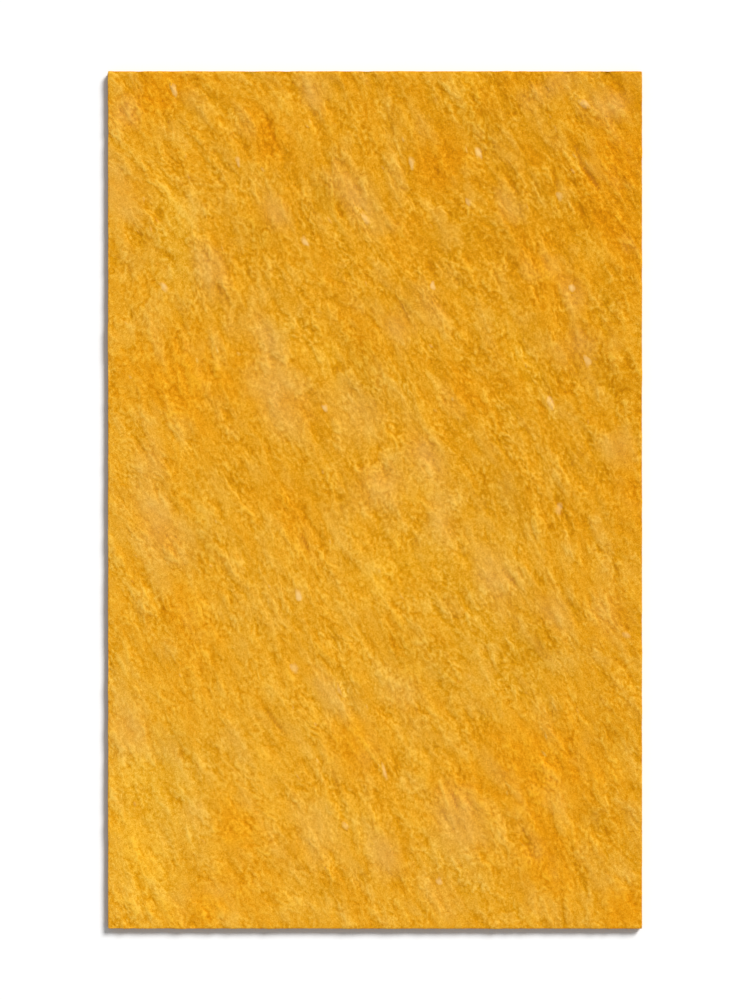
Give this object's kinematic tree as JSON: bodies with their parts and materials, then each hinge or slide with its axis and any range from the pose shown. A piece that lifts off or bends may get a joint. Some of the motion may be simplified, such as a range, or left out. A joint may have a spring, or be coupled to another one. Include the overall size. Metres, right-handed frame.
{
  "type": "acoustic panel",
  "caption": "Flat rectangular sheet of thick golden-yellow felt that lines a wall, ceiling or screen and absorbs sound.",
  "frame": {"origin": "centre of the back face, which is the face that the sheet lies on", "axes": "+Z out of the front face, +Y along the long side towards the top of the pictured panel, +X along the short side"},
  "size_m": [0.76, 1.22, 0.012],
  "materials": {
    "felt": "matte"
  },
  "bodies": {
    "root": {"felt_panel": "felt"}
  },
  "joints": []
}
